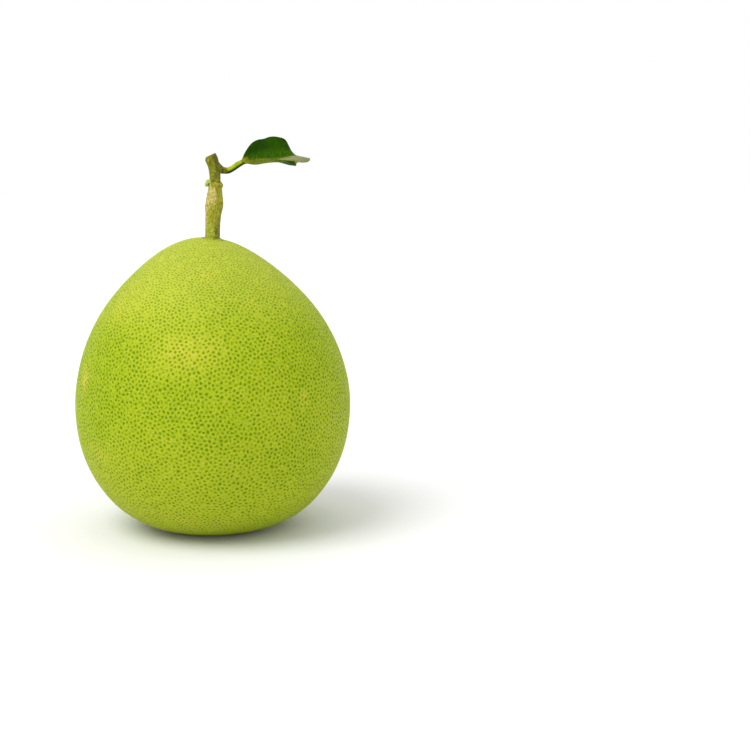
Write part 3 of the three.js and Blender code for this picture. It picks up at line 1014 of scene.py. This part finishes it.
def leaf_facts(along, across, above, vein, stalk_place, share):
    """The numbers of LEAF_FACTS for one ring of the leaf."""
    # How far round to the lower side each point is, which sets the stalk's painted shade.
    side = 0.5 - 0.5 * above * np.sqrt(np.clip(1 - across ** 2, 0, 1))
    band = np.interp(along, OLIVE_BAND_PLACES, OLIVE_BAND_WIDTHS)
    olive = smoothstep(*OLIVE_SPAN, along) * np.where(across < 0, 1, smoothstep(band, 0.02, across))
    inner = smoothstep(*INNER_SPAN, across) * (across > 0)
    sheet = max(share, SHEET_SHARE * float(smoothstep(*SHEET_SPAN, stalk_place)))
    rib = np.exp(-(across * half_blade(along, across)[0] / 0.5) ** 2)
    heel = 0 * side + smoothstep(*HEEL_SPAN, stalk_place)
    pale_and_painted_sheen = pale_and_painted_sheen_amount(along, across)
    return np.stack([vein, above < 0, 0 * side + sheet, pale_and_painted_sheen, olive, side, inner, rib, heel], 1)


def make_leaf():
    """Stalk and blade as one skin: round rings on the stalk that widen into the thin blade."""
    places = np.linspace(-1, 1, LEAF_COLUMNS)
    row_across = EDGE_CROWDING * np.sin(places * math.pi / 2) + (1 - EDGE_CROWDING) * places
    across = np.concatenate([row_across, row_across[::-1][1:-1]])
    above = np.concatenate([np.ones(LEAF_COLUMNS), -np.ones(LEAF_COLUMNS - 2)])
    rings, facts = [], []
    for row in range(LEAF_ROWS):
        blade_row = max(row - STALK_ROWS, 0) / (LEAF_ROWS - 1 - STALK_ROWS)
        angle = math.pi * (END_MARGIN + (1 - 2 * END_MARGIN) * blade_row)
        along = np.full(len(across), 0.5 - 0.5 * math.cos(angle))
        vein = vein_pattern(along, across)
        share = float(smoothstep(*JOIN_SPAN, along[0])) if row > STALK_ROWS else 0.0
        stalk = stalk_ring(min(row / STALK_ROWS, 1), across, above)
        rings.append(stalk * (1 - share) + blade_ring(along, across, above, vein) * share)
        facts.append(leaf_facts(along, across, above, vein, row / STALK_ROWS, share))
    points, faces = skin(rings)
    wave = LEAF_WAVE_HEIGHT * noise_at(points, LEAF_WAVE_LENGTH, 1, 2.0)
    points += wave[:, None] * [0.2, 0.2, 1.0]
    leaf = mesh_object("pomelo_leaf", points, faces)
    told = np.vstack([facts[0][:1], *facts, facts[-1][:1]])
    for column, name in enumerate(LEAF_FACTS):
        give(leaf, name, told[:, column])
    return leaf


class Look:
    """A material's node tree, with short ways to add nodes to it."""

    def __init__(self, name):
        self.material = bpy.data.materials.new(name)
        self.material.use_nodes = True
        self.tree = self.material.node_tree
        self.shader = self.tree.nodes["Principled BSDF"]
        self.place = self.tree.nodes.new("ShaderNodeTexCoord").outputs["Object"]

    def node(self, kind, **settings):
        made = self.tree.nodes.new(kind)
        for name, value in settings.items():
            setattr(made, name, value)
        return made

    def put(self, socket, value):
        if isinstance(value, bpy.types.NodeSocket):
            self.tree.links.new(value, socket)
        else:
            socket.default_value = value

    def stored(self, name):
        return self.node("ShaderNodeAttribute", attribute_name=name).outputs["Fac"]

    def noise(self, wavelength, detail=2.0, stretch=(1, 1, 1)):
        """Noise from 0 to 1 with features of a size in millimetres."""
        mapping = self.node("ShaderNodeMapping")
        self.put(mapping.inputs["Vector"], self.place)
        mapping.inputs["Scale"].default_value = [part / (wavelength * MM) for part in stretch]
        made = self.node("ShaderNodeTexNoise")
        self.put(made.inputs["Vector"], mapping.outputs["Vector"])
        made.inputs["Scale"].default_value = 1.0
        made.inputs["Detail"].default_value = detail
        return made.outputs["Fac"]

    def ramp(self, value, low, high, start=0.0, end=1.0):
        made = self.node("ShaderNodeMapRange", interpolation_type="SMOOTHSTEP")
        self.put(made.inputs["Value"], value)
        for name, number in (("From Min", low), ("From Max", high), ("To Min", start), ("To Max", end)):
            made.inputs[name].default_value = number
        return made.outputs["Result"]

    def reckon(self, operation, first, second):
        made = self.node("ShaderNodeMath", operation=operation)
        self.put(made.inputs[0], first)
        self.put(made.inputs[1], second)
        return made.outputs["Value"]

    def times(self, first, second):
        return self.reckon("MULTIPLY", first, second)

    def plus(self, first, second):
        return self.reckon("ADD", first, second)

    def mix(self, share, first, second):
        made = self.node("ShaderNodeMix", data_type="RGBA")
        self.put(made.inputs["Factor"], share)
        self.put(made.inputs["A"], first)
        self.put(made.inputs["B"], second)
        return made.outputs["Result"]

    def speckle(self, size, detail, low, high, stretch=(1, 1, 1)):
        """Speckles of a size in millimetres, from 0 between them to 1 on them."""
        return self.ramp(self.noise(size, detail, stretch), low, high)

    def coat(self, base, colour, where, share):
        """Lays a colour over the base by a mask, at most as strongly as its share."""
        return self.mix(self.times(where, share), base, colour)

    def sheen(self, size, smoothest, roughest):
        """Roughness that varies over patches of a size in millimetres."""
        return self.ramp(self.noise(size), 0.3, 0.7, smoothest, roughest)

    def bump(self, height, depth):
        made = self.node("ShaderNodeBump")
        self.put(made.inputs["Height"], height)
        made.inputs["Distance"].default_value = depth * MM
        made.inputs["Strength"].default_value = 1.0
        self.put(self.shader.inputs["Normal"], made.outputs["Normal"])

    def finish(self, colour, roughness, gloss):
        self.put(self.shader.inputs["Base Color"], colour)
        self.put(self.shader.inputs["Roughness"], roughness)
        self.shader.inputs["Specular IOR Level"].default_value = gloss
        return self.material


def peel_look():
    look = Look("pomelo_peel")
    split = look.node("ShaderNodeSeparateXYZ")
    look.put(split.inputs["Vector"], look.place)
    crown = look.ramp(split.outputs["Z"], CROWN_SPAN[0] * MM, CROWN_SPAN[1] * MM)
    yellow = look.ramp(look.stored("tone"), *YELLOW_RANGE)
    base = look.mix(yellow, PEEL_GREEN, PEEL_YELLOW)
    # Paler crown: partly the peel's own colour, partly painted light from above.
    base = look.coat(base, CROWN_PALE_AND_LIT, crown, CROWN_SHARE)
    base = look.coat(base, MOTTLE_LIGHT, look.speckle(*PEEL_MOTTLE), MOTTLE_SHARE)
    stroke_share = look.ramp(crown, 0.0, 1.0, *STROKE_SHARES)
    base = look.coat(base, STROKE_LIGHT, look.speckle(*PEEL_STROKES), stroke_share)
    ridge = look.ramp(look.stored("pit"), *RIDGE_RANGE)
    base = look.coat(base, look.mix(yellow, RIDGE_GREEN, RIDGE_YELLOW), ridge, RIDGE_SHARE)
    # Painted glints: golden flecks, more of them on the crown.
    painted_glint_share = look.ramp(crown, 0.0, 1.0, *PAINTED_GLINT_SHARES)
    base = look.coat(base, PAINTED_GLINT, look.speckle(*PEEL_GLINTS), painted_glint_share)
    pit_share = look.times(
        look.ramp(crown, 0.1, 0.9, *PIT_SHARES),
        look.ramp(yellow, 0.2, 0.8, *YELLOW_PIT_SHARES),
    )
    pit = look.ramp(look.stored("pit"), *PIT_RANGE)
    base = look.coat(base, look.mix(crown, PIT_GREEN, PIT_OLIVE), pit, pit_share)
    # Pale scuffs and the painted sheen, both strongest on the ridges between the pits.
    scuff_and_sheen_share = look.ramp(look.stored("pit"), *SCUFF_AND_PAINTED_SHEEN_RANGE)
    base = look.coat(base, SCUFF_AND_PAINTED_SHEEN_TAN, look.stored("scuff_and_painted_sheen"), scuff_and_sheen_share)
    base = look.mix(look.stored("mark"), base, MARK_BROWN)
    crater = look.times(look.ramp(look.stored("pit"), *CRATER_RANGE), CRATER_DEPTH)
    grain = look.times(look.noise(*PEEL_GRAIN), PEEL_GRAIN_DEPTH)
    look.bump(look.plus(crater, grain), 1.0)
    return look.finish(base, look.sheen(*PEEL_SHEEN), PEEL_GLOSS)


def calyx_look():
    look = Look("pomelo_calyx")
    base = look.mix(look.speckle(*SEPAL_FLECKS), SEPAL_OLIVE, SEPAL_LIGHT)
    base = look.coat(base, SEPAL_TIP, look.stored("tip"), TIP_SHARE)
    look.bump(look.noise(*SEPAL_GRAIN), SEPAL_GRAIN_DEPTH)
    return look.finish(base, SEPAL_SHEEN, SEPAL_GLOSS)


def stem_look():
    look = Look("pomelo_stem")
    mottle = look.speckle(*BARK_MOTTLE)
    fleck = look.speckle(*BARK_FLECKS)
    speck = look.speckle(*BARK_SPECKS)
    lower = look.mix(mottle, BARK_BROWN, BARK_OLIVE)
    lower = look.coat(lower, BARK_FLECK, fleck, BARK_FLECK_SHARE)
    lower = look.coat(lower, BARK_SPECK, speck, BARK_SPECK_SHARE)
    lower = look.mix(look.stored("fresh"), lower, look.mix(fleck, FRESH_OLIVE, FRESH_LIGHT))
    upper = look.mix(mottle, TWIG_BROWN, TWIG_OLIVE)
    upper = look.coat(upper, TWIG_FLECK, fleck, TWIG_FLECK_SHARE)
    upper = look.coat(upper, TWIG_SPECK, speck, TWIG_SPECK_SHARE)
    base = look.mix(look.stored("twig"), lower, upper)
    cork = look.mix(fleck, CORK_TAN, CORK_LIGHT)
    cork = look.coat(cork, CORK_SPECK, speck, CORK_SPECK_SHARE)
    base = look.mix(look.stored("cork"), base, cork)
    # Painted shade on the right side of the twig and of the foot.
    painted_shade = look.mix(fleck, PAINTED_SHADE_DARK, PAINTED_SHADE_LIGHT)
    base = look.coat(base, painted_shade, look.stored("painted_shade"), PAINTED_SHADE_SHARE)
    base = look.coat(base, CREASE_BROWN, look.stored("crease"), CREASE_SHARE)
    base = look.mix(look.stored("bud"), base, look.mix(fleck, BUD_GREEN, BUD_LIGHT))
    wood = look.mix(look.noise(*WOOD_GRAIN), WOOD_LIGHT, WOOD_DARK)
    base = look.mix(look.stored("cut"), base, wood)
    look.bump(look.noise(*BARK_GRAIN), BARK_GRAIN_DEPTH)
    return look.finish(base, look.sheen(*BARK_SHEEN), BARK_GLOSS)


def leaf_above(look, vein, patch, fleck):
    """Colour of the blade's upper side: dark green, with an olive base, a pale joint and painted
    reflections.
    """
    upper = look.mix(patch, BLADE_DARK, BLADE_GREEN)
    inner = look.mix(fleck, INNER_DARK, INNER_GREEN)
    upper = look.coat(upper, inner, look.stored("inner"), INNER_SHARE)
    upper = look.coat(upper, VEIN_ABOVE, vein, VEIN_SHARES[0])
    upper = look.coat(upper, RIB_ABOVE, look.stored("rib"), RIB_SHARE)
    olive = look.mix(look.speckle(*OLIVE_GRAIN), OLIVE_DARK, OLIVE_LIGHT)
    olive = look.coat(olive, OLIVE_TAN, look.speckle(*TAN_FLECKS), TAN_SHARE)
    olive_share = look.ramp(patch, 0.0, 1.0, *OLIVE_SHARES)
    upper = look.coat(upper, olive, look.stored("olive"), olive_share)
    pale_and_painted_sheen = look.stored("pale_and_painted_sheen")
    # Painted reflections of light on the upper side, and the pale joint.
    upper = look.mix(look.ramp(pale_and_painted_sheen, 0.02, 0.30), upper, PALE_AND_PAINTED_SHEEN_EDGE)
    painted_sheen = look.mix(fleck, PAINTED_SHEEN_DARK, PAINTED_SHEEN_LIGHT)
    return look.mix(look.ramp(pale_and_painted_sheen, 0.40, 0.85), upper, painted_sheen)


def leafstalk(look, fleck):
    """Colour of the leafstalk: light green above, painted shade below, and brown at its heel."""
    stalk = look.mix(look.speckle(*STALK_MOTTLE), STALK_GREEN, STALK_LIGHT)
    # Painted shade on the stalk's lower side.
    stalk = look.mix(look.ramp(look.stored("side"), 0.30, 0.70), stalk, STALK_PAINTED_SHADE)
    return look.mix(look.stored("heel"), stalk, look.mix(fleck, HEEL_DARK, HEEL_BROWN))


def leaf_look():
    look = Look("pomelo_leaf")
    under = look.stored("under")
    vein = look.stored("vein")
    patch = look.speckle(*LEAF_PATCHES)
    fleck = look.speckle(*LEAF_FLECKS)
    lower = look.mix(patch, UNDER_GREEN, UNDER_LIGHT)
    lower = look.coat(lower, VEIN_BELOW, vein, VEIN_SHARES[1])
    blade = look.mix(under, leaf_above(look, vein, patch, fleck), lower)
    base = look.mix(look.stored("blade"), leafstalk(look, fleck), blade)
    look.bump(look.noise(*LEAF_GRAIN), LEAF_GRAIN_DEPTH)
    return look.finish(base, look.ramp(under, 0, 1, *LEAF_SHEENS), LEAF_GLOSS)


def make_camera():
    lens = bpy.data.cameras.new("camera")
    lens.lens = CAMERA_LENS
    lens.sensor_width = CAMERA_SENSOR
    camera = bpy.data.objects.new("camera", lens)
    camera.location = CAMERA_PLACE
    camera.rotation_euler = (math.pi / 2 - CAMERA_DOWN, 0, 0)
    bpy.context.collection.objects.link(camera)
    bpy.context.scene.camera = camera


def make_floor():
    far = FLOOR_REACH
    corners = [(-far, -far, 0), (far, -far, 0), (far, far, 0), (-far, far, 0)]
    floor = mesh_object("floor", corners, [(0, 1, 2, 3)])
    look = Look("floor")
    tint = look.mix(look.noise(FLOOR_PATCHES), FLOOR_DARK, FLOOR_LIGHT)
    floor.data.materials.append(look.finish(tint, FLOOR_SHEEN, FLOOR_GLOSS))


def make_lights():
    world = bpy.data.worlds.new("studio")
    world.use_nodes = True
    background = world.node_tree.nodes["Background"]
    background.inputs["Color"].default_value = (1, 1, 1, 1)
    background.inputs["Strength"].default_value = 1.0
    bpy.context.scene.world = world
    light = bpy.data.lights.new("key", "SUN")
    light.energy = KEY_POWER
    light.angle = KEY_SPREAD
    key = bpy.data.objects.new("key", light)
    key.rotation_euler = (-Vector(KEY_FROM)).to_track_quat("-Z", "Y").to_euler()
    bpy.context.collection.objects.link(key)
    bpy.context.scene.view_settings.view_transform = "Standard"


def place(piece, node, slot, material):
    """Puts a finished piece in the place of its solid."""
    piece.data.materials.clear()
    piece.data.materials.append(material)
    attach(piece, "root")
    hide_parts(node)


make_camera()
make_floor()
make_lights()
place(make_peel(), "fruit", "peel", peel_look())
place(make_calyx(), "calyx", "sepal", calyx_look())
place(make_stem(), "stem", "bark", stem_look())
place(make_leaf(), "leaf", "leaf", leaf_look())
